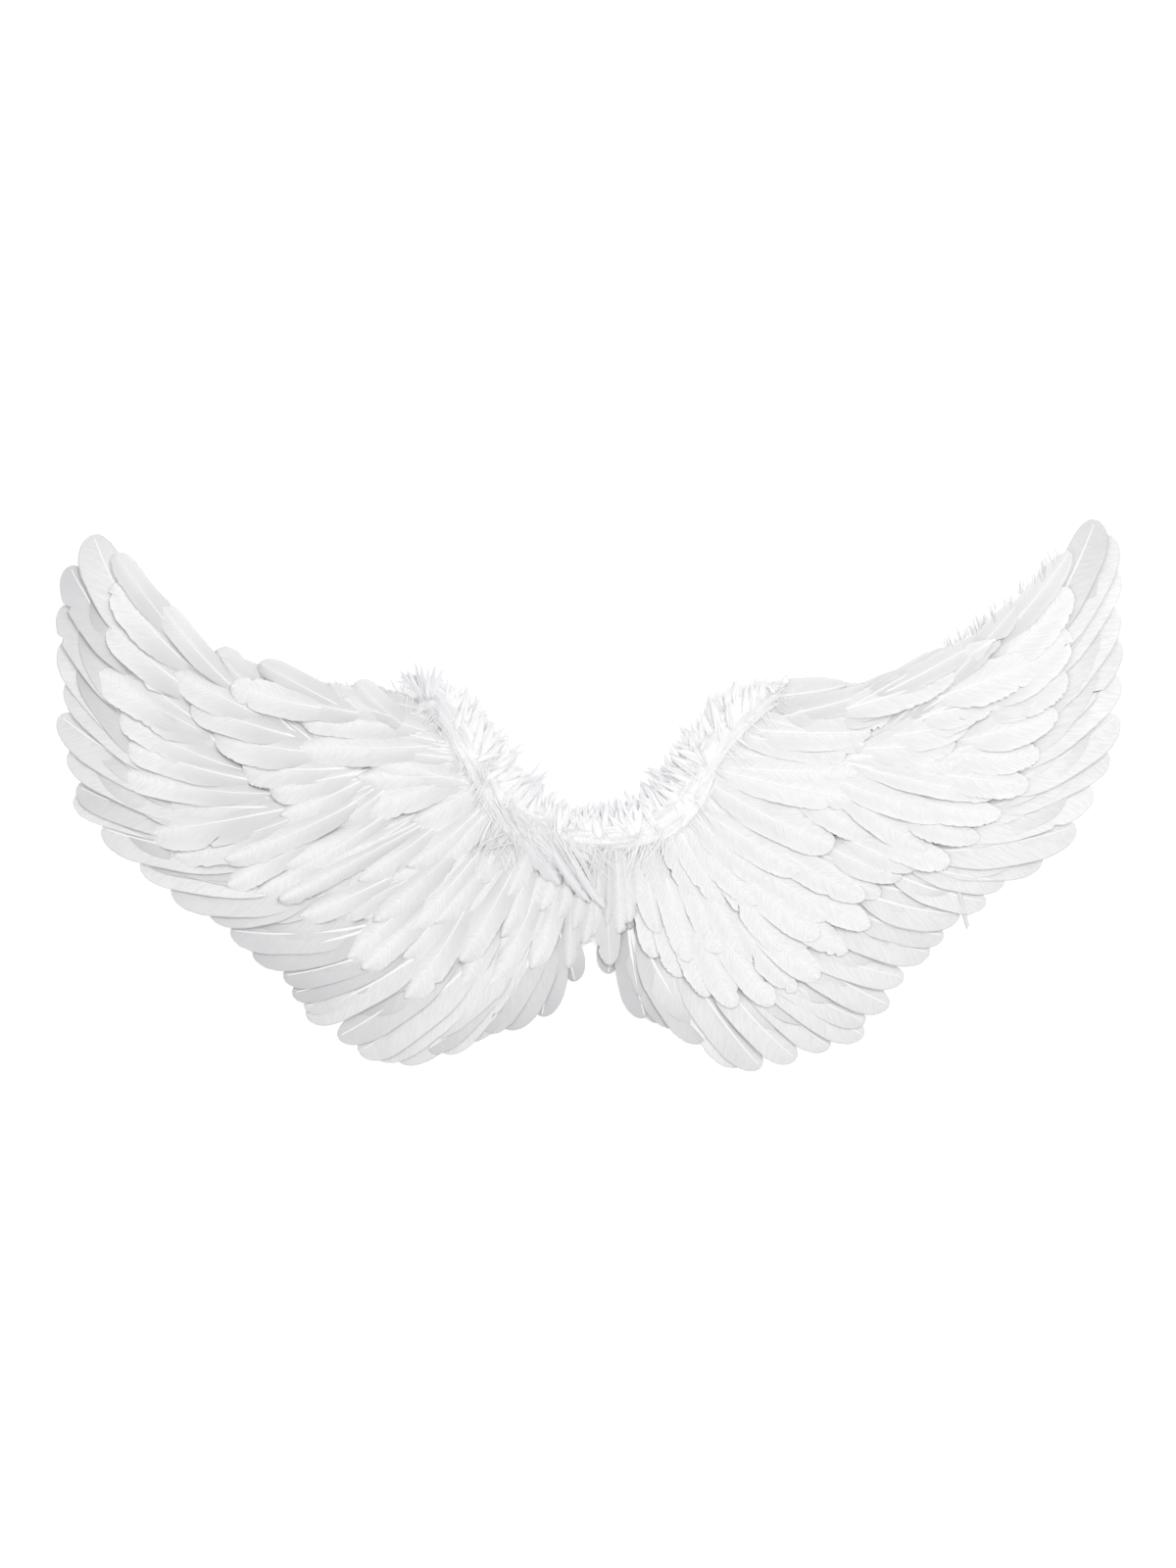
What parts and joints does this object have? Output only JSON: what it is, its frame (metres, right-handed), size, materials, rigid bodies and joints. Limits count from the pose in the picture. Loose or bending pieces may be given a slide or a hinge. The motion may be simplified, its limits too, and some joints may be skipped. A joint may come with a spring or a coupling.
{
  "type": "feather costume wings",
  "caption": "Pair of white feather wings joined in the middle: rows of overlapping feathers on a flat back panel, with fluffy down along the inner top edge, worn on the back.",
  "frame": {"origin": "on the back face of the panel, in the bridge between the two wings", "axes": "+X along the span to the right wing as seen from the feather side, +Y to the top of the wings, +Z out of the feather face"},
  "size_m": [0.6052, 0.3155, 0.0273],
  "materials": {
    "felt": "matte white felt",
    "flight_feather": "smooth white feather with a faint grey cast",
    "covert_feather": "soft bright white feather",
    "down": "fluffy white down"
  },
  "bodies": {
    "root": {"backing_panel": "felt", "left_flight_row": "flight_feather", "left_long_covert_row": "covert_feather", "left_middle_covert_row": "covert_feather", "left_short_covert_row": "covert_feather", "left_down_trim": "down", "right_flight_row": "flight_feather", "right_long_covert_row": "covert_feather", "right_middle_covert_row": "covert_feather", "right_short_covert_row": "covert_feather", "right_down_trim": "down", "centre_feathers": "covert_feather"}
  },
  "joints": []
}
